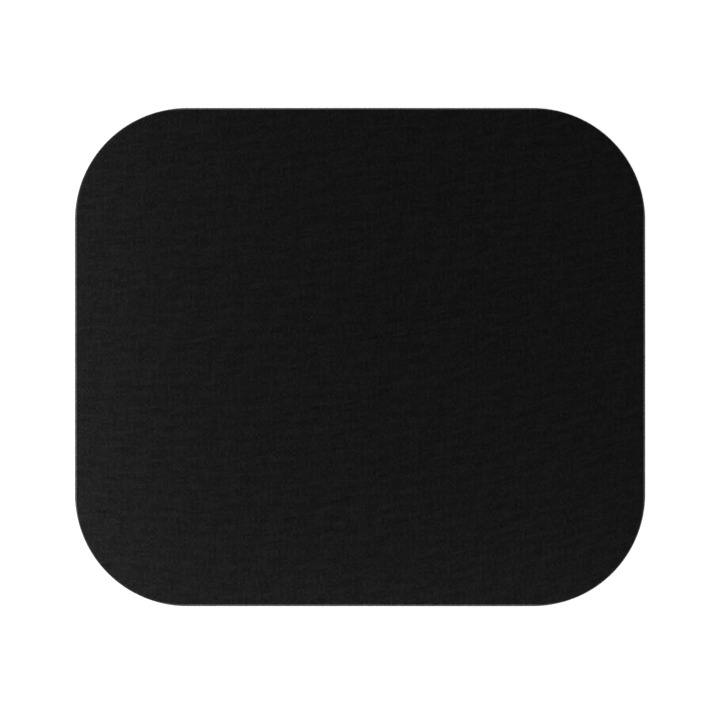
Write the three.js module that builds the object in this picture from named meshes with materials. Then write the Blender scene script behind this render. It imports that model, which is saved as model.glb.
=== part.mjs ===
// Cloth-topped mouse pad.
//
// Three sheets are bonded into one slab, and a steel-rule die then cuts the slab to its outline.
// The cloth is what the mouse glides on, a hot-melt film glues it down, and the foam rubber base
// grips the desk. The blade enters from the cloth side and draws it down, so all three layers
// curl over together at the rim. The foam is squeezed while it is cut and springs back behind
// the blade, so its cut wall is left slightly hollow.
//
// Millimetres, +Z up. The origin is on the desk, under the middle of the pad. +X runs along the
// wide side and +Y points away from the user.

import * as THREE from "three";
import { LoftGeometry } from "three/addons/geometries/LoftGeometry.js";
import { mergeGeometries, mergeVertices } from "three/addons/utils/BufferGeometryUtils.js";

// Outline of the pad, seen from above
const PAD_WIDTH = 229;
const PAD_DEPTH = 200;
const CORNER_RADIUS = 45;

// Thickness of each layer, from the desk up
const BASE_THICKNESS = 2.6;
const FILM_THICKNESS = 0.1;
const CLOTH_THICKNESS = 0.5;

// Rim that the blade leaves: how far in and how far down the layers curl, and how deep the wall
// of the foam is hollowed at half its height
const CURL_WIDTH = 1.4;
const CURL_DROP = 0.5;
const WALL_HOLLOW = 0.25;

// Facets on each quarter-round corner, on the curl and on the hollow wall
const CORNER_STEPS = 18;
const CURL_STEPS = 6;
const WALL_STEPS = 6;

// Heights of the flat faces where the layers meet
const BASE_TOP = BASE_THICKNESS;
const FILM_TOP = BASE_TOP + FILM_THICKNESS;
const CLOTH_TOP = FILM_TOP + CLOTH_THICKNESS;

// The pad's outline moved inwards by inset, at one height, anticlockwise from above.
function outlineRing(inset, height) {
  const centreX = PAD_WIDTH / 2 - CORNER_RADIUS;
  const centreY = PAD_DEPTH / 2 - CORNER_RADIUS;
  const radius = CORNER_RADIUS - inset;
  const corners = [[1, 1], [-1, 1], [-1, -1], [1, -1]];
  return corners.flatMap(([sideX, sideY], corner) =>
    Array.from({ length: CORNER_STEPS + 1 }, (_, step) => {
      const angle = (corner + step / CORNER_STEPS) * (Math.PI / 2);
      return new THREE.Vector3(
        sideX * centreX + radius * Math.cos(angle),
        sideY * centreY + radius * Math.sin(angle),
        height,
      );
    }),
  );
}

// Section of a face that curls down at the rim, from its flat out to the cut. The arc leaves the
// flat without a crease. A section's x is the inset from the outline, and its y is the height.
function curl(flatHeight) {
  const sweep = 2 * Math.atan(CURL_DROP / CURL_WIDTH);
  const radius = CURL_WIDTH / Math.sin(sweep);
  const quarter = Math.PI / 2;
  const arc = new THREE.ArcCurve(CURL_WIDTH, flatHeight - radius, radius, quarter, quarter + sweep);
  return arc.getPoints(CURL_STEPS);
}

// Section of the cut foam, from the desk up to where the curled film starts.
function hollowWall() {
  const halfHeight = (BASE_TOP - CURL_DROP) / 2;
  const sweep = 2 * Math.atan(WALL_HOLLOW / halfHeight);
  const radius = halfHeight / Math.sin(sweep);
  const arc = new THREE.ArcCurve(WALL_HOLLOW - radius, halfHeight, radius, -sweep, sweep);
  return arc.getPoints(WALL_STEPS);
}

// Flat face that fills a ring.
function flatFace(ring, facesUp) {
  const contour = ring.map(({ x, y }) => new THREE.Vector2(x, y));
  const triangles = THREE.ShapeUtils.triangulateShape(contour, []);
  const index = triangles.flatMap(([a, b, c]) => (facesUp ? [a, b, c] : [c, b, a]));
  return new THREE.BufferGeometry().setFromPoints(ring).setIndex(index);
}

// Carries a section round the outline, from its lower flat to its upper one, and closes both.
function sheet(section) {
  const rings = section.map(({ x: inset, y: height }) => outlineRing(inset, height));
  const rim = new LoftGeometry(rings);
  rim.deleteAttribute("normal");
  rim.deleteAttribute("uv");
  const closed = mergeGeometries([flatFace(rings[0], false), rim, flatFace(rings.at(-1), true)]);
  const geometry = mergeVertices(closed);
  geometry.computeVertexNormals();
  return geometry;
}

// Foam rubber base: flat on the desk, hollow at the cut and curled at its upper edge.
function foamBase() {
  const [, ...curlFromCut] = curl(BASE_TOP).reverse();
  const geometry = sheet([...hollowWall(), ...curlFromCut]);
  const foam = new THREE.MeshStandardMaterial({ color: 0x1e1e1f, roughness: 0.95, metalness: 0 });
  return named("foam_base", geometry, foam);
}

// Hot-melt film between the base and the cloth, with the same curl above and below.
function bondFilm() {
  const geometry = sheet([...curl(BASE_TOP), ...curl(FILM_TOP).reverse()]);
  const glue = new THREE.MeshStandardMaterial({ color: 0x34312c, roughness: 0.45, metalness: 0 });
  return named("bond_film", geometry, glue);
}

// Woven cloth that covers the film out to the cut.
function clothTop() {
  const geometry = sheet([...curl(FILM_TOP), ...curl(CLOTH_TOP).reverse()]);
  const cloth = new THREE.MeshStandardMaterial({ color: 0x171718, roughness: 0.9, metalness: 0 });
  return named("cloth_top", geometry, cloth);
}

function named(name, geometry, material) {
  const mesh = new THREE.Mesh(geometry, material);
  mesh.name = name;
  return mesh;
}

const mousePad = new THREE.Group();
mousePad.name = "mouse_pad";
mousePad.add(foamBase(), bondFilm(), clothTop());

export default mousePad;
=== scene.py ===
# %% [markdown]
# # A cloth-topped mouse pad
#
# The real pad is a laminate. A sheet of woven polyester is glued to a sheet of sponge rubber with a
# hot-melt film, and a steel blade then stamps the outline through all three in one stroke. Every
# layer has the same outline, so the character of the pad sits in three places: the weave of the
# cloth, the stamped rim and the grip that is moulded into the underside. This notebook builds the
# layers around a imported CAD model, in metres, and lights them for a view from straight above.

# %% Load the CAD model as a fixed frame
import math

import bpy
import numpy as np
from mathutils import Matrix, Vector


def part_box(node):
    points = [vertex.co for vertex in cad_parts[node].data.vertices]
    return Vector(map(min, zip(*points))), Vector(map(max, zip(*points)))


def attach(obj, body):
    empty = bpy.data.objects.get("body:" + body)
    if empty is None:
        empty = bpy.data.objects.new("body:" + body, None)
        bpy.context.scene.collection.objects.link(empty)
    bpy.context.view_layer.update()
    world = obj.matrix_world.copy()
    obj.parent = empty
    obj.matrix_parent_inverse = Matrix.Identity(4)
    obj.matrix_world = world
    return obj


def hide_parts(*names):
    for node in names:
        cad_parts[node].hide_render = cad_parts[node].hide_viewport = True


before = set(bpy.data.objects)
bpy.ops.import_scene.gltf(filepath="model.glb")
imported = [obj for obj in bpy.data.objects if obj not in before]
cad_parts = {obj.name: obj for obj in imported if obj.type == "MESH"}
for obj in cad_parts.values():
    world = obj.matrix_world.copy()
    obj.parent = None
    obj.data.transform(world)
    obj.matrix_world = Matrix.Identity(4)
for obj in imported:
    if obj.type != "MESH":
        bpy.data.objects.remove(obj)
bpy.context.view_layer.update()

print("CAD nodes:", sorted(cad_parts))

# %% [markdown]
# ## Sizes
#
# The outline and the height of each layer are read from the frame, so the looks can't drift away
# from the CAD model. Only what a box can't tell is written here as a real size: the corner radius,
# the width of the curled rim and how far the cut foam is hollowed.

# %% Sizes of the laminate
MM = 0.001
CORNER_RADIUS = 45 * MM
CURL_WIDTH = 1.4 * MM
WALL_HOLLOW = 0.25 * MM

HALF_WIDTH, HALF_DEPTH, BASE_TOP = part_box("foam_base")[1]
CORNER_CENTRE = np.array([HALF_WIDTH, HALF_DEPTH]) - CORNER_RADIUS
CURL_START, FILM_TOP = (corner.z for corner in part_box("bond_film"))
CLOTH_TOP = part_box("cloth_top")[1].z
CURL_DROP = BASE_TOP - CURL_START
print(f"pad {HALF_WIDTH * 2 / MM:.1f} by {HALF_DEPTH * 2 / MM:.1f} by {CLOTH_TOP / MM:.2f} mm")
print(f"layers end at {BASE_TOP / MM:.2f}, {FILM_TOP / MM:.2f} and {CLOTH_TOP / MM:.2f} mm")

# %% [markdown]
# ## The outline as a path
#
# A rounded rectangle could be drawn as a curve object and bevelled, but then its points can't be
# counted on. Here it is worked out: walk round a rectangle of corner centres, and push each point
# out by the corner radius along its normal. Moving the outline inwards is then only a matter of a
# smaller push, and the points of all the rings stay in step. Each side starts half way round one
# corner and ends half way round the next, which lets the four sides frame a grid later on.

# %% Walk round the outline
SIDE_STEPS = 120


def outline_sides(step_count):
    """Corner centres and outward normals along the four sides, anticlockwise from the front.

    The distance walked along a side is first spent on an eighth of a turn, then on the straight,
    then on the next eighth. The centre moves only on the straight and the normal turns only on
    the eighths.
    """
    quarter = np.arange(4) * math.pi / 2
    heading = np.stack([np.cos(quarter), np.sin(quarter)], axis=-1)
    start = CORNER_CENTRE * np.array([[-1, -1], [1, -1], [1, 1], [-1, 1]])
    straight = 2 * CORNER_CENTRE[[0, 1, 0, 1], None]
    bend = CORNER_RADIUS * math.pi / 4
    walked = np.linspace(0, 1, step_count + 1) * (straight + 2 * bend)
    moved = np.clip(walked - bend, 0, straight)
    bent = np.clip(walked, 0, bend) + np.clip(walked - bend - straight, 0, bend)
    angle = quarter[:, None] - 3 * math.pi / 4 + bent / CORNER_RADIUS
    centres = start[:, None] + moved[..., None] * heading[:, None]
    normals = np.stack([np.cos(angle), np.sin(angle)], axis=-1)
    return centres, normals


def outline_ring(step_count):
    """The four sides as one ring, each without its last point, which is the next side's first."""
    return [part[:, :-1].reshape(-1, 2) for part in outline_sides(step_count)]


side_centres, side_normals = outline_sides(SIDE_STEPS)
ring_centres, ring_normals = outline_ring(SIDE_STEPS)
RING_STEPS = len(ring_centres)
ring_points = ring_centres + CORNER_RADIUS * ring_normals
longest_step = np.linalg.norm(np.diff(ring_points, axis=0), axis=1).max()
print(f"{RING_STEPS} points round the outline, {longest_step / MM:.2f} mm apart at most")

# %% [markdown]
# ## A layer is a section carried round that path
#
# Each layer is closed: a lower flat, a rim and an upper flat. The flats could be single faces with
# hundreds of corners, but a grid shades better and can be bent. A Coons patch gives that grid: it
# blends the four sides into the middle, with no pole and no thin triangles.

# %% Grid of a flat


def flat_grid(inset):
    """Coons patch inside the outline moved inwards: the blend of the front and back sides, plus the
    blend of the left and right sides, less the blend of the four corners, which both have counted.
    """
    sides = side_centres + (CORNER_RADIUS - inset) * side_normals
    front, right, back, left = sides[0], sides[1], sides[2][::-1], sides[3][::-1]
    u = np.linspace(0, 1, SIDE_STEPS + 1)[None, :, None]
    v = np.linspace(0, 1, SIDE_STEPS + 1)[:, None, None]
    front_to_back = (1 - v) * front[None] + v * back[None]
    left_to_right = (1 - u) * left[:, None] + u * right[:, None]
    corners = (1 - v) * ((1 - u) * front[0] + u * front[-1]) + v * ((1 - u) * back[0] + u * back[-1])
    return (front_to_back + left_to_right - corners).reshape(-1, 2)


def at_height(plan, height):
    """Points of a plan at one height."""
    return np.column_stack([plan, np.full(len(plan), height)])


print(f"each flat is a grid of {SIDE_STEPS} by {SIDE_STEPS} faces")

# %% [markdown]
# The rim is a section of inset and height pairs, carried round the path from the edge of one flat to
# the edge of the other. A curve with a bevel object could sweep it too, but here each point also
# keeps its distance from the cut, which the material of the cloth needs.
#
# A soft pad is never dead flat either. A few long, low waves lift the upper faces by a tenth of a
# millimetre or so. They fade towards the desk, where the weight of the pad presses them out.

# %% Ripples and shell
# Each ripple has its lengths along x and y in millimetres, and its phase in radians.
RIPPLES = ((97, 31, 0.4), (61, 118, 2.1), (143, -74, 4.0))
RIPPLE_HEIGHT = 0.05 * MM


def rippled(points):
    """Lifts points by a sum of sines of their place, in proportion to their height over the desk."""
    x, y, z = points.T
    lift = sum(np.sin(2 * math.pi * (x / (a * MM) + y / (b * MM)) + phase) for a, b, phase in RIPPLES)
    return np.column_stack([x, y, z + RIPPLE_HEIGHT * lift * z / CLOTH_TOP])


def layer_shell(section):
    """Vertices, faces and insets of a closed layer, from its section of (inset, height) rows. The faces
    of the two flats come first, then those of the rim."""
    lower = at_height(flat_grid(section[0, 0]), section[0, 1])
    upper = at_height(flat_grid(section[-1, 0]), section[-1, 1])
    between = [
        at_height(ring_centres + (CORNER_RADIUS - inset) * ring_normals, height)
        for inset, height in section[1:-1]
    ]
    vertices = rippled(np.concatenate([lower, upper, *between]))
    insets = np.concatenate([
        np.full(len(lower), section[0, 0]),
        np.full(len(upper), section[-1, 0]),
        np.repeat(section[1:-1, 0], RING_STEPS),
    ])

    grid = np.arange(len(lower)).reshape(SIDE_STEPS + 1, SIDE_STEPS + 1)
    quads = [grid[:-1, :-1], grid[:-1, 1:], grid[1:, 1:], grid[1:, :-1]]
    up_faces = np.stack(quads, axis=-1).reshape(-1, 4)
    edge = np.concatenate([grid[0, :-1], grid[:-1, -1], grid[-1, :0:-1], grid[:0:-1, 0]])
    rows = np.arange(len(between) * RING_STEPS).reshape(-1, RING_STEPS) + 2 * len(lower)
    rings = np.concatenate([edge[None], rows, edge[None] + len(lower)])
    ahead = np.roll(rings, -1, axis=1)
    rim_faces = np.stack([rings[:-1], ahead[:-1], ahead[1:], rings[1:]], axis=-1).reshape(-1, 4)
    faces = np.concatenate([up_faces[:, ::-1], up_faces + len(lower), rim_faces])
    return vertices, faces.tolist(), insets


print(f"{len(RIPPLES)} ripples, together {len(RIPPLES) * RIPPLE_HEIGHT / MM:.2f} mm high at most")

# %% [markdown]
# The blade draws the cloth down as it goes in, so every layer curls over at the rim. A bevel would
# round the edge, but it would leave the layers flat inside. The curl is an arc instead, and all the
# layers share it: each face of a layer is the same arc at another height.

# %% Section of the curl
ARC_STEPS = 8
CURL_ANGLE = 2 * math.atan(CURL_DROP / CURL_WIDTH)


def curled(flat_height):
    """Section of a face that curls down at the rim, from its flat out to the cut: an arc that
    leaves the flat without a crease and falls by the drop over the width."""
    radius = CURL_WIDTH / math.sin(CURL_ANGLE)
    angle = np.linspace(0, CURL_ANGLE, ARC_STEPS + 1)
    inset = CURL_WIDTH - radius * np.sin(angle)
    height = flat_height - radius * (1 - np.cos(angle))
    return np.column_stack([inset, height])


print(f"the curl turns down by {math.degrees(CURL_ANGLE):.0f} degrees")
print("every second point of it in mm:", np.round(curled(CLOTH_TOP)[::2] / MM, 2).tolist())

# %% [markdown]
# ## Small tools for pieces and materials
#
# Every piece takes the same steps: a mesh from points and faces, smooth shading with sharp creases,
# its materials, and the body of the CAD model that it rides on. One function does them all.

# %% Piece helper
CREASE_ANGLE = 30


def new_piece(name, vertices, faces, materials, crease=CREASE_ANGLE):
    """Mesh piece from points and faces: smooth, with creases over some degrees kept sharp, riding on
    the pad."""
    mesh = bpy.data.meshes.new(name)
    mesh.from_pydata(vertices.tolist(), [], faces)
    mesh.shade_smooth()
    mesh.set_sharp_from_angle(angle=math.radians(crease))
    for material in materials:
        mesh.materials.append(material)
    piece = bpy.data.objects.new(name, mesh)
    bpy.context.scene.collection.objects.link(piece)
    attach(piece, "root")
    print(f"{name}: {len(mesh.vertices)} vertices, {len(mesh.polygons)} faces")
    return piece


print(f"creases over {CREASE_ANGLE} degrees stay sharp, if a piece doesn't say otherwise")

# %% [markdown]
# Colours are picked as the eye sees them, in sRGB, but shaders work in linear light, so one function
# turns a hex colour into that. Materials could be drawn in the node editor. In a script one function
# that adds a node with its settings and links is enough, and one that starts an empty material.

# %% Material helpers


def linear(hex_colour):
    """sRGB hex colour as linear RGBA: c / 12.92 in the dark toe, ((c + 0.055) / 1.055) ** 2.4 above."""
    srgb = np.array([int(hex_colour[i:i + 2], 16) for i in (1, 3, 5)]) / 255
    rgb = np.where(srgb <= 0.04045, srgb / 12.92, ((srgb + 0.055) / 1.055) ** 2.4)
    return (*rgb.tolist(), 1.0)


def add_node(owner, kind, inputs=None, **settings):
    """Adds a node with its settings. An input is a value, or an output socket to link from."""
    tree = owner.node_tree
    node = tree.nodes.new(kind)
    for name, value in settings.items():
        setattr(node, name, value)
    for socket, value in (inputs or {}).items():
        if isinstance(value, bpy.types.NodeSocket):
            tree.links.new(value, node.inputs[socket])
        else:
            node.inputs[socket].default_value = value
    return node


def new_material(name):
    """Empty node material, ready for a shader and its output."""
    material = bpy.data.materials.new(name)
    material.use_nodes = True
    material.node_tree.nodes.clear()
    return material


print(f"middle grey #808080 is {linear('#808080')[0]:.3f} in linear light")

# %% [markdown]
# ## Woven polyester
#
# The cloth is a plain weave of black polyester, dyed right through and pressed flat. From a step
# away the eye sees a soft, almost black grey. Closer up it is lively: no two threads took the dye
# quite alike, so there are fine upright lines from the warp and level dashes from the weft, and
# single crossings catch the light. The weft is not square to the warp. It was pulled askew when the
# cloth was finished, so the dashes rise to the right, and they fan out towards the front right.
#
# The pattern could be painted on a UV map, but the cloth lies flat, so Object coordinates do the
# same with less. The weft's own coordinate is worked out first, and everything that follows the
# weft reads that.

# %% Thread directions
# Mean slope of the weft, seen from the middle of the pad: where it starts, what each metre to the
# right adds to it, and what each metre to the back takes off that.
WEFT_SLOPE = 0.17
WEFT_BOW = 0.55
WEFT_FAN = 5.0


def pulled_weft(cloth):
    """Place on the cloth with the weft drawn straight: y less the rise of the weft.

    The rise is x times (slope + x times (bow - fan times y)), with x and y in metres.
    """
    place = add_node(cloth, "ShaderNodeTexCoord").outputs["Object"]
    axes = add_node(cloth, "ShaderNodeSeparateXYZ", {0: place})
    x, y = axes.outputs["X"], axes.outputs["Y"]
    bow = add_node(cloth, "ShaderNodeMath", {0: y, 1: -WEFT_FAN, 2: WEFT_BOW}, operation="MULTIPLY_ADD")
    slope = add_node(
        cloth, "ShaderNodeMath", {0: x, 1: bow.outputs[0], 2: WEFT_SLOPE}, operation="MULTIPLY_ADD",
    )
    rise = add_node(cloth, "ShaderNodeMath", {0: slope.outputs[0], 1: x}, operation="MULTIPLY")
    weft_y = add_node(cloth, "ShaderNodeMath", {0: y, 1: rise.outputs[0]}, operation="SUBTRACT")
    return add_node(cloth, "ShaderNodeCombineXYZ", {"X": x, "Y": weft_y.outputs[0]}).outputs[0]


right_slope = WEFT_SLOPE + 2 * WEFT_BOW * HALF_WIDTH
print(f"weft rises {WEFT_SLOPE:.2f} at the middle, {right_slope:.2f} at the right")

# %% [markdown]
# A plain weave is two sets of round threads that take turns on top. To draw it, the threads are
# counted first. Real ones lie about 0.4 mm apart, which is one pixel here, so they are drawn two and a
# half times as coarse to show at all. Dividing a place by the pitch would count them, but no cloth is
# that even: its threads crowd here and spread there. A slow noise shifts them sideways. It is drawn
# out along the threads, so each of them still runs nearly straight.

# %% Thread count
THREAD_PITCH = 1.0 * MM
THREAD_SHIFT = 2.0 * MM
SHIFT_ACROSS = 7 * MM
SHIFT_ALONG = 28 * MM


def thread_count(cloth, threads, axis, patch):
    """Threads counted along one axis: the place plus a slow noise times the shift, over the pitch. The
    patch is the noise's size along x and y."""
    place = add_node(cloth, "ShaderNodeSeparateXYZ", {0: threads}).outputs[axis]
    spot = add_node(cloth, "ShaderNodeVectorMath", {0: threads, 1: (*patch, 1.0)}, operation="DIVIDE")
    noise = add_node(
        cloth, "ShaderNodeTexNoise", {"Vector": spot.outputs[0], "Scale": 1.0, "Detail": 1.0},
        noise_dimensions="2D",
    )
    moved = add_node(
        cloth, "ShaderNodeMath", {0: noise.outputs["Fac"], 1: THREAD_SHIFT, 2: place},
        operation="MULTIPLY_ADD",
    )
    count = add_node(cloth, "ShaderNodeMath", {0: moved.outputs[0], 1: THREAD_PITCH}, operation="DIVIDE")
    return count.outputs[0]


print(f"threads {THREAD_PITCH / MM:.1f} mm apart, crowding over {SHIFT_ACROSS / MM:.0f} mm")

# %% [markdown]
# In a coordinate that counts threads, the height across a thread is the size of a sine, and the warp
# is on top wherever the two sines have the same sign. A Checker texture could take the turns, but it
# would leave the threads flat.

# %% Plain weave
CROSSING_BLEND = 0.1
THREAD_END_FALL = 0.25


def plain_weave(cloth, threads):
    """Threads counted across the warp and the weft, the share of the warp on top, and the height of
    the thread on top: its round across, times a fall to both ends where it dips under."""
    warp_count = thread_count(cloth, threads, "X", (SHIFT_ACROSS, SHIFT_ALONG))
    weft_count = thread_count(cloth, threads, "Y", (SHIFT_ALONG, SHIFT_ACROSS))
    counted = add_node(cloth, "ShaderNodeCombineXYZ", {"X": warp_count, "Y": weft_count}).outputs[0]
    sines = []
    rounds = []
    for count in (warp_count, weft_count):
        turn = add_node(cloth, "ShaderNodeMath", {0: count, 1: math.pi}, operation="MULTIPLY")
        sine = add_node(cloth, "ShaderNodeMath", {0: turn.outputs[0]}, operation="SINE").outputs[0]
        sines.append(sine)
        rounds.append(add_node(cloth, "ShaderNodeMath", {0: sine}, operation="ABSOLUTE").outputs[0])
    agree = add_node(cloth, "ShaderNodeMath", {0: sines[0], 1: sines[1]}, operation="MULTIPLY")
    warp_share = add_node(
        cloth, "ShaderNodeMapRange",
        {"Value": agree.outputs[0], "From Min": -CROSSING_BLEND, "From Max": CROSSING_BLEND},
    ).outputs[0]
    across = add_node(cloth, "ShaderNodeMix", {"Factor": warp_share, "A": rounds[1], "B": rounds[0]})
    inside = add_node(cloth, "ShaderNodeMath", {0: rounds[0], 1: rounds[1]}, operation="MULTIPLY")
    ends = add_node(
        cloth, "ShaderNodeMath", {0: inside.outputs[0], 1: THREAD_END_FALL}, operation="POWER",
    )
    height = add_node(
        cloth, "ShaderNodeMath", {0: across.outputs["Result"], 1: ends.outputs[0]}, operation="MULTIPLY",
    )
    return counted, warp_share, height.outputs[0]


print(f"warp and weft change places where the product of their sines is within {CROSSING_BLEND} of zero")

# %% [markdown]
# Two things change along a thread: how much dye it took, which drifts over some millimetres and
# jumps from one thread to the next, and its strands of fibre, which run beside each other. Both are
# noise that is read across the thread by one coordinate and along it by the other. A single noise for
# the whole cloth could not follow two sets of threads that cross.

# %% Thread tones
WARP_DRIFT = 8 * MM
WEFT_DRIFT = 7 * MM
WEFT_CONTRAST = 1.5


def along_top_thread(cloth, across, threads, warp_share):
    """Noise drawn out along the thread on top. The warp is read across by x and along by y, and the
    weft the other way round. The weft is the livelier one, so it is spread further from a half."""
    sides = add_node(cloth, "ShaderNodeSeparateXYZ", {0: across}).outputs
    runs = add_node(cloth, "ShaderNodeSeparateXYZ", {0: threads}).outputs
    tones = []
    for side, run, drift in (("X", "Y", WARP_DRIFT), ("Y", "X", WEFT_DRIFT)):
        along = add_node(cloth, "ShaderNodeMath", {0: runs[run], 1: 1 / drift}, operation="MULTIPLY")
        spot = add_node(cloth, "ShaderNodeCombineXYZ", {"X": sides[side], "Y": along.outputs[0]})
        tones.append(add_node(
            cloth, "ShaderNodeTexNoise", {"Vector": spot.outputs[0], "Scale": 1.0, "Detail": 0.0},
            noise_dimensions="2D",
        ).outputs["Fac"])
    warp, weft = tones
    lively_weft = add_node(
        cloth, "ShaderNodeMath", {0: weft, 1: WEFT_CONTRAST, 2: (1 - WEFT_CONTRAST) / 2},
        operation="MULTIPLY_ADD",
    )
    return add_node(
        cloth, "ShaderNodeMix", {"Factor": warp_share, "A": lively_weft.outputs[0], "B": warp},
    ).outputs["Result"]


print(f"tones drift over {WARP_DRIFT / MM:.0f} mm of warp and {WEFT_DRIFT / MM:.0f} mm of weft")

# %% [markdown]
# The loom leaves slow rhythms on top. Its beat shows in the weft about every 5 mm, and in two weaker
# and shorter beats that lean a little more each. Its tension shows in the warp about every 12 mm, and
# the teeth of its reed leave a fine upright line every 2.5 mm. They run askew to one another, and
# where crests meet the eye sees a short, slanting dash. A Wave texture could draw them, but its
# crests are as wide as its troughs. A power of a sine makes them narrow.

# %% Rhythms of the loom
REED_STEP = 2.54 * MM
# Each rhythm has its crests per metre along x and along the straightened y, and the tone a crest adds.
RHYTHMS = (
    ((15, 184), 0.122),
    ((-23, 221), 0.052),
    ((-57, 267), 0.058),
    ((72, -36), 0.070),
    ((1 / REED_STEP, 0), 0.088),
)
CREST_POWER = 4
RHYTHM_PATCH = 22 * MM
RHYTHM_WAVER = 4.0


def loom_rhythms(cloth, threads, tone):
    """Adds the crests of every rhythm to a tone: an even power of a sine, whose phase a slow noise moves
    to and fro by some radians."""
    patch = add_node(
        cloth, "ShaderNodeTexNoise", {"Vector": threads, "Scale": 1 / RHYTHM_PATCH, "Detail": 2.0},
    )
    waver = add_node(
        cloth, "ShaderNodeMath", {0: patch.outputs["Fac"], 1: RHYTHM_WAVER}, operation="MULTIPLY",
    )
    for crests, crest_tone in RHYTHMS:
        counted = add_node(
            cloth, "ShaderNodeVectorMath", {0: threads, 1: (*crests, 0)}, operation="DOT_PRODUCT",
        )
        phase = add_node(
            cloth, "ShaderNodeMath", {0: counted.outputs["Value"], 1: math.pi, 2: waver.outputs[0]},
            operation="MULTIPLY_ADD",
        )
        sine = add_node(cloth, "ShaderNodeMath", {0: phase.outputs[0]}, operation="SINE")
        narrow = add_node(
            cloth, "ShaderNodeMath", {0: sine.outputs[0], 1: CREST_POWER}, operation="POWER",
        )
        tone = add_node(
            cloth, "ShaderNodeMath", {0: narrow.outputs[0], 1: crest_tone, 2: tone},
            operation="MULTIPLY_ADD",
        ).outputs[0]
    return tone


crest_steps = [round(1 / math.hypot(*crests) / MM, 1) for crests, _ in RHYTHMS]
print("crests of the rhythms lie so many mm apart:", crest_steps)

# %% [markdown]
# The tone of the cloth is its share of the way from the dark to the pale colour. The gaps between
# the threads stay dark, as painted shade. On the crown of a thread the tone rises by a shine that
# differs with the dye, the fibres and the crossing's own chance. The shine is a painted highlight,
# and the chance paints a glint on single crossings. The dye and the fibres are the thread's own tone.
# A random colour for each crossing would be simpler, but it would show as a square, and the shine of
# a crown is an oval.

# %% Shine of the crowns, a painted highlight
# Steps through the noise from one thread to the next: a long one for the dye, so that neighbours
# differ, and a shorter one for the fibres, so that about two strands show on each.
THREAD_JUMP = 5.37
THREAD_STRANDS = 2.2
# Mean shine of a crown, a painted highlight, and how far the crossing's chance, the dye and the
# fibres spread it.
CROWN_SHINE = 0.10
GLINT_POWER = 2.0
GLINT_SPREAD = 0.78
DYE_SPREAD = 0.62
FIBRE_SPREAD = 0.68


def crown_shine(cloth, counted, threads, warp_share):
    """Shine of the thread on top, and its fibres. The shine is a painted highlight on the crown, and
    the dye and the fibres in it are the thread's own tone. The shine is the mean, plus each pattern
    less its own mean times its spread. A power of the chance makes the painted glints of bright
    crossings the rarer ones."""
    number = add_node(cloth, "ShaderNodeVectorMath", {0: counted}, operation="FLOOR").outputs[0]
    chance = add_node(cloth, "ShaderNodeTexWhiteNoise", {"Vector": number}, noise_dimensions="2D")
    glint = add_node(
        cloth, "ShaderNodeMath", {0: chance.outputs["Value"], 1: GLINT_POWER}, operation="POWER",
    ).outputs[0]
    tones = []
    for across, step in ((number, THREAD_JUMP), (counted, THREAD_STRANDS)):
        scaled = add_node(cloth, "ShaderNodeVectorMath", {0: across, "Scale": step}, operation="SCALE")
        tones.append(along_top_thread(cloth, scaled.outputs[0], threads, warp_share))
    dye, fibre = tones
    patterns = (
        (glint, GLINT_SPREAD, 1 / (GLINT_POWER + 1)),
        (dye, DYE_SPREAD, 1 / 2),
        (fibre, FIBRE_SPREAD, 1 / 2),
    )
    shine = CROWN_SHINE - sum(spread * mean for _, spread, mean in patterns)
    for pattern, spread, _ in patterns:
        shine = add_node(
            cloth, "ShaderNodeMath", {0: pattern, 1: spread, 2: shine}, operation="MULTIPLY_ADD",
        ).outputs[0]
    return shine, fibre


print(f"a crown shines by {CROWN_SHINE:.2f} on average, and chance spreads that by {GLINT_SPREAD:.2f}")

# %% [markdown]
# The blade leaves the outermost threads cut short and bruised, and those look paler. The pale rim
# is also partly a painted highlight, where the curled cut edge catches the light. A second material
# on the faces of the rim could show that, but it would end in a ruled line. Here the mesh carries
# its distance from the cut as an attribute, and the fibres move the limit of the pale rim in or
# out, so that it is frayed. Along a straight side the blade meets a thread square on. On a bend it
# meets it at a slant and slices it more cleanly, so the rim is paler on the sides than on the bends.

# %% Bruised rim and its painted highlight
CUT_PALE = 0.58 * MM
CUT_FADED = 0.78 * MM
CUT_FRAY = 0.2 * MM


def bruised_highlit_rim(cloth, fibre):
    """One along the cut and zero further in, fading between two distances that the fibres move. It
    places the pale rim, partly the bruise of the blade and partly a painted highlight.
    """
    from_cut = add_node(cloth, "ShaderNodeAttribute", attribute_name="from_cut").outputs["Fac"]
    frayed = add_node(
        cloth, "ShaderNodeMath", {0: fibre, 1: CUT_FRAY, 2: from_cut}, operation="MULTIPLY_ADD",
    )
    return add_node(
        cloth, "ShaderNodeMapRange",
        {
            "Value": frayed.outputs[0],
            "From Min": CUT_PALE + CUT_FRAY / 2,
            "From Max": CUT_FADED + CUT_FRAY / 2,
            "To Min": 1.0,
            "To Max": 0.0,
        },
    ).outputs[0]


print(f"the pale rim fades out {CUT_PALE / MM:.2f} to {CUT_FADED / MM:.2f} mm from the cut")

# %% [markdown]
# What is left is to put the cloth together. Polyester itself is glossy, but thousands of fine fibres
# scatter the light, so the cloth is very rough with hardly any mirror gloss, and a trace of sheen
# stands for the fibre ends. The height of the threads goes into a bump, which gives each of them a
# lit and a shaded flank. True displacement would need a mesh that is finer than a thread.

# %% Cloth material
THREAD_RELIEF = 0.035 * MM
# Tone in the gaps between the threads, painted dark as the shade there.
GAP_SHADE_TONE = 0.295
# Ends of the tone: the dye, with painted shade at the dark end and a painted highlight at the pale end.
DYE_SHADE_DARK = "#090909"
DYE_HIGHLIGHT_PALE = "#191919"
# Colours of the pale rim: the bruise of the blade, and partly a painted highlight on the cut edge.
BRUISED_HIGHLIT_DARK = "#313131"
BRUISED_HIGHLIT_PALE = "#484848"


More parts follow.
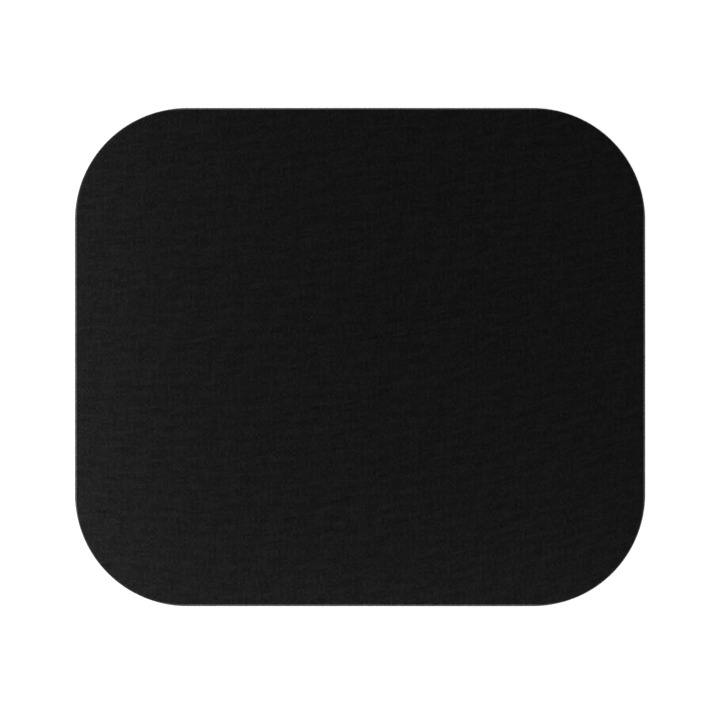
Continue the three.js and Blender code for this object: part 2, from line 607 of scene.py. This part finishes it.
def woven_polyester():
    """Matte black cloth: the weave and its unevenness in the colour and the relief, with painted
    shade in the gaps and a painted highlight on the crowns, and a paler cut rim, partly the bruise of
    the blade and partly a painted highlight.
    """
    cloth = new_material("woven_polyester_pressed")
    threads = pulled_weft(cloth)
    counted, warp_share, height = plain_weave(cloth, threads)
    shine, fibre = crown_shine(cloth, counted, threads, warp_share)
    rhythm = loom_rhythms(cloth, threads, GAP_SHADE_TONE)
    # The tone paints shade into the gaps and a highlight onto the crowns, along with the dye.
    tone = add_node(
        cloth, "ShaderNodeMath", {0: shine, 1: height, 2: rhythm}, operation="MULTIPLY_ADD",
    ).outputs[0]
    colours = []
    for dark, pale in ((DYE_SHADE_DARK, DYE_HIGHLIGHT_PALE), (BRUISED_HIGHLIT_DARK, BRUISED_HIGHLIT_PALE)):
        colours.append(add_node(
            cloth, "ShaderNodeMix", {"Factor": tone, "A": linear(dark), "B": linear(pale)},
            data_type="RGBA",
        ).outputs["Result"])
    dye_and_painted_light, bruised_highlit = colours
    # The pale rim goes in here, partly a painted highlight where the cut edge catches the light.
    colour = add_node(
        cloth, "ShaderNodeMix", {"Factor": bruised_highlit_rim(cloth, fibre), "A": dye_and_painted_light, "B": bruised_highlit},
        data_type="RGBA",
    )
    relief = add_node(
        cloth, "ShaderNodeBump", {"Height": height, "Strength": 1.0, "Distance": THREAD_RELIEF},
    )
    shader = add_node(
        cloth, "ShaderNodeBsdfPrincipled",
        {
            "Base Color": colour.outputs["Result"],
            "Roughness": 0.92,
            "Specular IOR Level": 0.035,
            "Sheen Weight": 0.02,
            "Sheen Roughness": 0.4,
            "Normal": relief.outputs[0],
        },
    )
    add_node(cloth, "ShaderNodeOutputMaterial", {"Surface": shader.outputs[0]})
    return cloth


cloth_material = woven_polyester()
print(f"material: {cloth_material.name}, {len(cloth_material.node_tree.nodes)} nodes")

# %% [markdown]
# The piece itself is a layer whose two faces both curl. A loose sheet would be draped by simulation,
# but this one was glued down flat before it was cut, so it can only follow the foam. Its points
# carry their distance from the cut for the material. On a bend they count as a little farther away,
# which thins the pale rim there.

# %% Cloth piece
BEND_CLEAN = 0.4 * MM
BEND_RAMP = 12 * MM


def mark_cut(piece, vertices, insets):
    """Stores each point's distance from the cut. A point on a bend counts as farther away, by a length
    that grows with how far the bend has turned from both of its sides."""
    into_corner = np.abs(vertices[:, :2]) - CORNER_CENTRE
    bend = np.clip(into_corner.min(axis=1) / BEND_RAMP, 0, 1)
    from_cut = piece.data.attributes.new("from_cut", "FLOAT", "POINT")
    from_cut.data.foreach_set("value", (insets + BEND_CLEAN * bend).astype(np.float32))


cloth_section = np.concatenate([curled(FILM_TOP), curled(CLOTH_TOP)[::-1]])
cloth_vertices, cloth_faces, cloth_insets = layer_shell(cloth_section)
cloth_layer = new_piece("woven_cloth", cloth_vertices, cloth_faces, [cloth_material])
mark_cut(cloth_layer, cloth_vertices, cloth_insets)
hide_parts("cloth_top")

# %% [markdown]
# Seen from the side, the cut shows the threads in two rows. Neighbours pass over and under the last
# thread that crosses them, so a cut end lies high, the next one low, and the crossing thread bulges
# in between. Bump could draw them, but they stand a little proud and break up the line of the cut,
# so they are real: one flattened dome, repeated round the path.

# %% Faces of the domes
# Rings of a dome: their place along its reach, and their girth.
DOME_REACH = np.array([0.0, 0.5, 0.85, 1.0])
DOME_GIRTH = np.array([1.0, 1.0, 0.75, 0.35])
DOME_POINTS = 6


def dome_faces(index):
    """Faces of closed domes, from the numbers of their points by dome, by ring and round the ring: quads
    from ring to ring, and a cap at both ends."""
    ahead = np.roll(index, -1, axis=2)
    quads = [index[:, :-1], ahead[:, :-1], ahead[:, 1:], index[:, 1:]]
    sides = np.stack(quads, axis=-1).reshape(-1, 4)
    return sides.tolist() + index[:, 0, ::-1].tolist() + index[:, -1].tolist()


print(f"a dome has {len(DOME_REACH)} rings of {DOME_POINTS} points")

# %% [markdown]
# Copies of one object could be scattered along the rim, but an array keeps them to their rows. They
# point down the slope of the curl, and the bulges are a little shorter than the ends.

# %% Cut thread ends
ENDS_PER_SIDE = 400
END_HALF_WIDTH = 0.40 * MM
END_HALF_THICKNESS = 0.14 * MM
END_REACH = 0.10 * MM
BULGE_REACH = 0.08 * MM
END_ROOT = 0.15 * MM
END_CREASE = 70
# Rows as shares of the cloth's thickness, and what chance does to place, reach and girth.
LOWER_ROW = 0.25
UPPER_ROW = 0.75
ROW_SCATTER = 0.04
REACH_SCATTER = 0.15
GIRTH_RANGE = (0.85, 1.05)
CHANCE_SEED = 7


def thread_ends():
    """Vertices and faces of the ends and bulges. Rings of an ellipse, of a girth each, follow one
    another along the slope of the curl. Two ends and two bulges take turns, one of each two in the
    upper row. Chance makes some longer and some thinner."""
    chance = np.random.default_rng(CHANCE_SEED)
    centres, normals = outline_ring(ENDS_PER_SIDE)
    count = len(centres)
    number = np.arange(count)
    upper_row = number % 2 == 1
    cut_here = number % 4 < 2
    axis = np.column_stack([math.cos(CURL_ANGLE) * normals, np.full(count, -math.sin(CURL_ANGLE))])
    upward = np.column_stack([math.sin(CURL_ANGLE) * normals, np.full(count, math.cos(CURL_ANGLE))])
    sideways = np.column_stack([-normals[:, 1], normals[:, 0], np.zeros(count)])
    scatter = chance.uniform(-ROW_SCATTER, ROW_SCATTER, count)
    share = np.where(upper_row, UPPER_ROW, LOWER_ROW) + scatter
    height = FILM_TOP - CURL_DROP + share * (CLOTH_TOP - FILM_TOP)
    roots = np.column_stack([centres + CORNER_RADIUS * normals, height]) - END_ROOT * axis
    stretch = chance.uniform(1 - REACH_SCATTER, 1 + REACH_SCATTER, count)
    proud = np.where(cut_here, END_REACH, BULGE_REACH) * stretch
    reach = (END_ROOT + proud[:, None]) * DOME_REACH
    girth = (chance.uniform(*GIRTH_RANGE, (count, 1)) * DOME_GIRTH)[:, :, None, None]
    angle = np.arange(DOME_POINTS)[:, None] * 2 * math.pi / DOME_POINTS
    rings = (
        (roots[:, None] + reach[..., None] * axis[:, None])[:, :, None]
        + END_HALF_WIDTH * girth * np.cos(angle) * sideways[:, None, None]
        + END_HALF_THICKNESS * girth * np.sin(angle) * upward[:, None, None]
    )
    index = np.arange(rings[..., 0].size).reshape(rings.shape[:3])
    return rippled(rings.reshape(-1, 3)), dome_faces(index), count


end_vertices, end_faces, end_count = thread_ends()
cut_ends = new_piece(
    "cut_thread_ends", end_vertices, end_faces, [cloth_material], crease=END_CREASE,
)
mark_cut(cut_ends, end_vertices, insets=0.0)
print(f"{end_count} thread ends and bulges round the cut")

# %% [markdown]
# ## Hot-melt film
#
# A tenth of a millimetre of polyurethane glue. Only its cut edge shows, as a thin line between the
# cloth and the foam that is a little glossier than both. It could be left to the CAD node, but the
# looks of the rim depend on all three layers curling together, so it is made the same way.

# %% Film material and piece
FILM_CLOUD = 3 * MM
FILM_DARK = "#1f1d1a"
FILM_PALE = "#37332c"


def hot_melt_film():
    """Smoky, satin glue with a faint cloudiness."""
    film = new_material("hot_melt_film_smoked")
    place = add_node(film, "ShaderNodeTexCoord").outputs["Object"]
    cloud = add_node(
        film, "ShaderNodeTexNoise", {"Vector": place, "Scale": 1 / FILM_CLOUD, "Detail": 2.0},
    )
    ramp = add_node(film, "ShaderNodeValToRGB", {"Fac": cloud.outputs["Fac"]})
    ramp.color_ramp.elements[0].color = linear(FILM_DARK)
    ramp.color_ramp.elements[1].color = linear(FILM_PALE)
    shader = add_node(
        film, "ShaderNodeBsdfPrincipled",
        {"Base Color": ramp.outputs[0], "Roughness": 0.42, "IOR": 1.5, "Specular IOR Level": 0.3},
    )
    add_node(film, "ShaderNodeOutputMaterial", {"Surface": shader.outputs[0]})
    return film


film_section = np.concatenate([curled(BASE_TOP), curled(FILM_TOP)[::-1]])
film_vertices, film_faces, _ = layer_shell(film_section)
film_layer = new_piece("glue_film", film_vertices, film_faces, [hot_melt_film()])
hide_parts("bond_film")

# %% [markdown]
# ## Sponge rubber base
#
# The base is foamed rubber, vulcanised between two plates. Where a plate pressed it, it has a closed,
# slightly satin skin. Where the blade went through, the bubbles lie open and the wall is dull and
# pitted. So it takes two materials: one for the cut rim and one for the skin. Bubbles could be cut
# out of the mesh, but there are many thousands of them on a wall two millimetres high. Here each one
# sits in a cell of a Voronoi texture. Real ones are about half as wide as they are drawn, to show.

# %% Bubbles
WIDE_BUBBLES = 0.5 * MM
SMALL_BUBBLES = 0.22 * MM
BUBBLE_REACH = 0.55
BUBBLE_LIP = 0.12


def bubble_walls(sponge, place):
    """One on the walls between bubbles of two sizes, and zero in their pits. A bubble's radius is a
    chance share of its cell, and its lip rises from pit to wall just inside that."""
    walls = []
    for size in (WIDE_BUBBLES, SMALL_BUBBLES):
        cells = add_node(
            sponge, "ShaderNodeTexVoronoi", {"Vector": place, "Scale": 1 / size, "Randomness": 1.0},
        ).outputs
        chance = add_node(sponge, "ShaderNodeSeparateColor", {0: cells["Color"]}).outputs[0]
        radius = add_node(sponge, "ShaderNodeMath", {0: chance, 1: BUBBLE_REACH}, operation="MULTIPLY")
        outside = add_node(
            sponge, "ShaderNodeMath", {0: cells["Distance"], 1: radius.outputs[0]}, operation="SUBTRACT",
        )
        walls.append(add_node(
            sponge, "ShaderNodeMapRange",
            {"Value": outside.outputs[0], "From Min": -BUBBLE_LIP, "From Max": 0.0},
        ).outputs[0])
    return add_node(
        sponge, "ShaderNodeMath", {0: walls[0], 1: walls[1]}, operation="MINIMUM",
    ).outputs[0]


print(f"bubbles in cells of {WIDE_BUBBLES / MM:.2f} and {SMALL_BUBBLES / MM:.2f} mm")

# %% [markdown]
# The walls between the bubbles are torn and dusty and hardly shine. The pits are painted darker, as
# the shade inside them.
# Colour and relief could have a pattern each, but then they would not meet, so one serves both.

# %% Cut sponge material
BUBBLE_RELIEF = 0.12 * MM
# Colour of the bubble pits, painted dark as the shade inside them.
BUBBLE_PIT_SHADE = "#101011"
WALL_DARK = "#1a1a1b"
WALL_PALE = "#303031"


def cut_sponge():
    """Cut foam: dull, dusty grey walls round open bubbles, which are painted darker as shade."""
    sponge = new_material("sponge_rubber_cut")
    place = add_node(sponge, "ShaderNodeTexCoord").outputs["Object"]
    solid = bubble_walls(sponge, place)
    dust = add_node(
        sponge, "ShaderNodeTexNoise", {"Vector": place, "Scale": 1 / SMALL_BUBBLES, "Detail": 3.0},
    )
    wall = add_node(
        sponge, "ShaderNodeMix",
        {"Factor": dust.outputs["Fac"], "A": linear(WALL_DARK), "B": linear(WALL_PALE)},
        data_type="RGBA",
    )
    # Painted shade in the bubble pits, and dusty grey on the walls.
    colour = add_node(
        sponge, "ShaderNodeMix",
        {"Factor": solid, "A": linear(BUBBLE_PIT_SHADE), "B": wall.outputs["Result"]},
        data_type="RGBA",
    )
    pits = add_node(
        sponge, "ShaderNodeBump", {"Height": solid, "Strength": 1.0, "Distance": BUBBLE_RELIEF},
    )
    shader = add_node(
        sponge, "ShaderNodeBsdfPrincipled",
        {
            "Base Color": colour.outputs["Result"],
            "Roughness": 0.95,
            "Specular IOR Level": 0.15,
            "Normal": pits.outputs[0],
        },
    )
    add_node(sponge, "ShaderNodeOutputMaterial", {"Surface": shader.outputs[0]})
    return sponge


sponge_material = cut_sponge()
print("material:", sponge_material.name)

# %% [markdown]
# The skin is the opposite: closed, even and a little glossy, with the fine grain of the steel plate.
# The grain is far finer than the faces of the mesh, so it is a bump. Rubber also sweats out a trace
# of wax as it ages, which shows as a slow, pale bloom.

# %% Skin material
PLATE_GRAIN = 0.4 * MM
PLATE_RELIEF = 0.05 * MM
BLOOM_SIZE = 35 * MM
BLOOM_RANGE = (0.3, 0.75)
SKIN_DARK = "#171718"
SKIN_PALE = "#242425"


def moulded_skin():
    """Skin of the sponge: a close satin surface with the plate's grain in its relief and a slow bloom in
    its colour."""
    skin = new_material("sponge_rubber_moulded_skin")
    place = add_node(skin, "ShaderNodeTexCoord").outputs["Object"]
    grain = add_node(
        skin, "ShaderNodeTexNoise", {"Vector": place, "Scale": 1 / PLATE_GRAIN, "Detail": 3.0},
    )
    bloom = add_node(
        skin, "ShaderNodeTexNoise", {"Vector": place, "Scale": 1 / BLOOM_SIZE, "Detail": 3.0},
    )
    ramp = add_node(skin, "ShaderNodeValToRGB", {"Fac": bloom.outputs["Fac"]})
    for stop, position, colour in zip(ramp.color_ramp.elements, BLOOM_RANGE, (SKIN_DARK, SKIN_PALE)):
        stop.position = position
        stop.color = linear(colour)
    plate = add_node(
        skin, "ShaderNodeBump",
        {"Height": grain.outputs["Fac"], "Strength": 0.4, "Distance": PLATE_RELIEF},
    )
    shader = add_node(
        skin, "ShaderNodeBsdfPrincipled",
        {
            "Base Color": ramp.outputs[0],
            "Roughness": 0.7,
            "Specular IOR Level": 0.25,
            "Normal": plate.outputs[0],
        },
    )
    add_node(skin, "ShaderNodeOutputMaterial", {"Surface": shader.outputs[0]})
    return skin


skin_material = moulded_skin()
print("material:", skin_material.name)

# %% [markdown]
# The base is one more layer. An extruded outline would be quicker, but its wall would be straight,
# and real foam springs back hollow behind the blade. So its section climbs an arc, and then turns in
# under the curl of the film. Its lower flat is the floor of the grip, so it lies as high over the
# desk as the lugs are tall. The flats get the skin and the rim the cut sponge.

# %% Sponge piece
GRIP_DEPTH = 0.2 * MM


def hollow_wall():
    """Section of the cut foam, from the floor of the grip up to the curled film: an arc that is
    drawn in by the hollow at half height."""
    middle = (CURL_START + GRIP_DEPTH) / 2
    half_height = (CURL_START - GRIP_DEPTH) / 2
    sweep = 2 * math.atan(WALL_HOLLOW / half_height)
    radius = half_height / math.sin(sweep)
    angle = np.linspace(-sweep, sweep, ARC_STEPS + 1)
    inset = WALL_HOLLOW - radius * (1 - np.cos(angle))
    height = middle + radius * np.sin(angle)
    return np.column_stack([inset, height])


sponge_section = np.concatenate([hollow_wall(), curled(BASE_TOP)[-2::-1]])
sponge_vertices, sponge_faces, _ = layer_shell(sponge_section)
sponge_layer = new_piece(
    "sponge_base", sponge_vertices, sponge_faces, [sponge_material, skin_material],
)
flat_count = 2 * SIDE_STEPS ** 2
on_skin = (np.arange(len(sponge_faces)) < flat_count).astype(np.int32)
sponge_layer.data.polygons.foreach_set("material_index", on_skin)
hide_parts("foam_base")

# %% [markdown]
# ## Grip lugs
#
# The lower plate presses a waffle of small lugs into the sponge, so that the pad holds the desk. A
# displacement or a boolean would need a very fine mesh for that. Instead one lug is an eight-sided
# frustum, and all of them are one array: the lug's points plus the places of the lattice.
#
# The blade cut through the waffle wherever it fell. Points that would lie outside are drawn back to
# the outline along the shortest way, so the first thing needed is how far away it is, and where.

# %% Distance to the outline


def outline_distance(plan):
    """Distance inside (below zero) or outside the outline, and the outward direction there.

    Fold the plan into one quarter, measure from the corner centre, and take the corner radius off.
    """
    folded = np.abs(plan) - CORNER_CENTRE
    beyond = np.maximum(folded, 0)
    reach = np.linalg.norm(beyond, axis=-1, keepdims=True)
    nearest = np.where(folded == folded.max(axis=-1, keepdims=True), 1.0, 0.0)
    past_centre = reach > 0
    outward = np.where(past_centre, beyond, nearest) / np.where(past_centre, reach, 1.0) * np.sign(plan)
    return reach[..., 0] + np.minimum(folded.max(axis=-1), 0) - CORNER_RADIUS, outward


middle_distance, _ = outline_distance(np.zeros((1, 2)))
print(f"the middle of the pad lies {-middle_distance[0] / MM:.0f} mm inside the outline")

# %% [markdown]
# The lattice could follow the sides of the pad, but then its open lanes would run the way that a hand
# pushes. Turned by 45 degrees, each row of lugs stands in the gaps of the next. A lug's root sinks a
# little into the sponge, so that no gap can open between them.

# %% Lug lattice
LUG_PITCH = 3.0 * MM
LUG_HALF_ROOT = 1.28 * MM
LUG_HALF_TIP = 1.08 * MM
LUG_CHAMFER = 0.3 * MM
LUG_SUNK = 0.05 * MM
LATTICE_TURN = math.pi / 4


def lug_ring(half_side):
    """Eight points of a square with chamfered corners, anticlockwise."""
    short = half_side - LUG_CHAMFER
    return np.array([
        (half_side, -short), (half_side, short), (short, half_side), (-short, half_side),
        (-half_side, short), (-half_side, -short), (-short, -half_side), (short, -half_side),
    ])


def lug_lattice():
    """Vertices and faces of all the lugs: one lug's points, turned with the lattice, at each place."""
    line_count = math.ceil(math.hypot(HALF_WIDTH, HALF_DEPTH) / LUG_PITCH)
    line = np.arange(-line_count, line_count + 1) * LUG_PITCH
    turn = np.array([
        [math.cos(LATTICE_TURN), math.sin(LATTICE_TURN)],
        [-math.sin(LATTICE_TURN), math.cos(LATTICE_TURN)],
    ])
    places = np.stack(np.meshgrid(line, line), axis=-1).reshape(-1, 2) @ turn
    places = places[outline_distance(places)[0] < -LUG_CHAMFER]
    tips = lug_ring(LUG_HALF_TIP)
    point_count = len(tips)
    rings = np.concatenate([tips, lug_ring(LUG_HALF_ROOT)]) @ turn
    plan = places[:, None] + rings[None]
    distance, outward = outline_distance(plan)
    plan = plan - np.maximum(distance, 0)[..., None] * outward
    heights = np.repeat([0, GRIP_DEPTH + LUG_SUNK], point_count)
    heights = np.broadcast_to(heights[None, :, None], (*plan.shape[:2], 1))
    vertices = np.concatenate([plan, heights], axis=-1)

    tip = np.arange(point_count)
    ahead = np.roll(tip, -1)
    sides = np.stack([tip, ahead, ahead + point_count, tip + point_count], axis=-1)
    first = np.arange(len(places))[:, None] * 2 * point_count
    faces = (
        (first[..., None] + sides).reshape(-1, 4).tolist()
        + (first + tip[::-1]).tolist()
        + (first + tip + point_count).tolist()
    )
    return vertices.reshape(-1, 3), faces, len(places)


lug_vertices, lug_faces, lug_count = lug_lattice()
new_piece("grip_lugs", lug_vertices, lug_faces, [skin_material])
print(f"{lug_count} lugs, {LUG_PITCH / MM:.1f} mm apart")

# %% [markdown]
# ## Floor and world
#
# The picture has a plain white ground. Lighting a floor until it clips would also flood the pad, so
# the floor turns white only for what the camera sees or what is mirrored, and stays an ordinary pale
# surface for all other light. A share of it is still shaded, which keeps the pad's faint shadow.

# %% Floor
FLOOR_SIZE = 3.0
FLOOR_DROP = 0.05 * MM
FLOOR_GLOW = 0.88
FLOOR_PAINT = "#f4f4f4"
FLOOR_THIN_PAINT = "#808080"


def seen_directly(owner):
    """One where a ray comes from the camera, a mirror or glass, and zero elsewhere."""
    rays = add_node(owner, "ShaderNodeLightPath").outputs
    shiny = add_node(
        owner, "ShaderNodeMath", {0: rays["Is Glossy Ray"], 1: rays["Is Transmission Ray"]},
        operation="MAXIMUM",
    )
    return add_node(
        owner, "ShaderNodeMath", {0: rays["Is Camera Ray"], 1: shiny.outputs[0]}, operation="MAXIMUM",
    ).outputs[0]


def white_floor():
    """Pale matte paint. To the camera it is an even glow, plus a thin layer of paint that makes up
    the rest of the white in the open and falls short of it under the rim, as a faint shadow."""
    floor_paint = new_material("matte_white_ground")
    matte = add_node(floor_paint, "ShaderNodeBsdfDiffuse", {"Color": linear(FLOOR_PAINT)})
    thin = add_node(floor_paint, "ShaderNodeBsdfDiffuse", {"Color": linear(FLOOR_THIN_PAINT)})
    glow = add_node(floor_paint, "ShaderNodeEmission", {"Strength": FLOOR_GLOW})
    ground = add_node(floor_paint, "ShaderNodeAddShader", {0: thin.outputs[0], 1: glow.outputs[0]})
    mixed = add_node(
        floor_paint, "ShaderNodeMixShader",
        {0: seen_directly(floor_paint), 1: matte.outputs[0], 2: ground.outputs[0]},
    )
    add_node(floor_paint, "ShaderNodeOutputMaterial", {"Surface": mixed.outputs[0]})
    return floor_paint


floor_mesh = bpy.data.meshes.new("floor")
floor_corners = np.array([(-1, -1), (1, -1), (1, 1), (-1, 1)]) * FLOOR_SIZE / 2
floor_mesh.from_pydata(at_height(floor_corners, -FLOOR_DROP).tolist(), [], [(0, 1, 2, 3)])
floor_mesh.materials.append(white_floor())
floor = bpy.data.objects.new("floor", floor_mesh)
bpy.context.scene.collection.objects.link(floor)
print(f"floor {FLOOR_SIZE} m wide, {FLOOR_DROP / MM:.2f} mm under the pad")

# %% [markdown]
# The world does the same: it is white where it is seen, and an even, weaker fill where it only lights
# the pad. A sky texture would tint the cloth, and a studio has no sky.

# %% World
WORLD_FILL = 0.69

world = bpy.data.worlds.new("even_studio")
world.use_nodes = True
world.node_tree.nodes.clear()
strength = add_node(
    world, "ShaderNodeMapRange", {"Value": seen_directly(world), "To Min": WORLD_FILL, "To Max": 1.0},
)
background = add_node(
    world, "ShaderNodeBackground", {"Color": (1, 1, 1, 1), "Strength": strength.outputs[0]},
)
add_node(world, "ShaderNodeOutputWorld", {"Surface": background.outputs[0]})
bpy.context.scene.world = world
print(f"world {world.name}, fill {WORLD_FILL}")

# %% [markdown]
# ## Light and camera
#
# One softbox overhead would light the cloth evenly. Here two long, low ones stand at the left and at
# the front instead, so the cloth grows darker towards the far right corner, and the even world fills
# the rest. A third light is a narrow strip at the right, so low that it only grazes the rim, which
# would be lost in the dark there.

# %% Softboxes
# Places, aims and sizes are in millimetres.
SOFTBOXES = {
    "left_softbox": {"at": (-182, 43, 40), "aim": (-23, 57, 0), "size": (378, 38), "watts": 0.46},
    "front_softbox": {"at": (-25, -131, 40), "aim": (-17, -16, 0), "size": (418, 41), "watts": 0.15},
    "right_strip": {"at": (190, 0, 5), "aim": (114, 0, 3), "size": (230, 8), "watts": 0.06},
}

for name, box in SOFTBOXES.items():
    lamp = bpy.data.lights.new(name, "AREA")
    lamp.shape = "RECTANGLE"
    lamp.size, lamp.size_y = (side * MM for side in box["size"])
    lamp.energy = box["watts"]
    softbox = bpy.data.objects.new(name, lamp)
    softbox.location = Vector(box["at"]) * MM
    softbox.rotation_euler = (Vector(box["aim"]) - Vector(box["at"])).to_track_quat("-Z", "Y").to_euler()
    softbox.visible_camera = False
    bpy.context.scene.collection.objects.link(softbox)
    print(f"{name}: {lamp.energy:.2f} W")

# %% [markdown]
# The camera looks straight down, with a long lens, so only the cloth and its rim show. Its height
# could be tried out by eye, but it follows from the width that the picture has to take in.

# %% Camera
# The picture's width is measured at the height of the cut cloth, and its middle lies a little
# towards the front. The focal length and the sensor are in millimetres.
PICTURE_WIDTH = 289.2 * MM
PICTURE_DOWN = 1.16 * MM
FOCAL_LENGTH = 85
SENSOR_WIDTH = 36

overhead = bpy.data.cameras.new("overhead")
overhead.lens = FOCAL_LENGTH
overhead.sensor_width = SENSOR_WIDTH
camera = bpy.data.objects.new("overhead", overhead)
camera_height = CLOTH_TOP - CURL_DROP + PICTURE_WIDTH * FOCAL_LENGTH / SENSOR_WIDTH
camera.location = (0, -PICTURE_DOWN, camera_height)
bpy.context.scene.collection.objects.link(camera)
bpy.context.scene.camera = camera
bpy.context.scene.view_settings.view_transform = "Standard"
print(f"camera {camera_height:.3f} m above the desk")
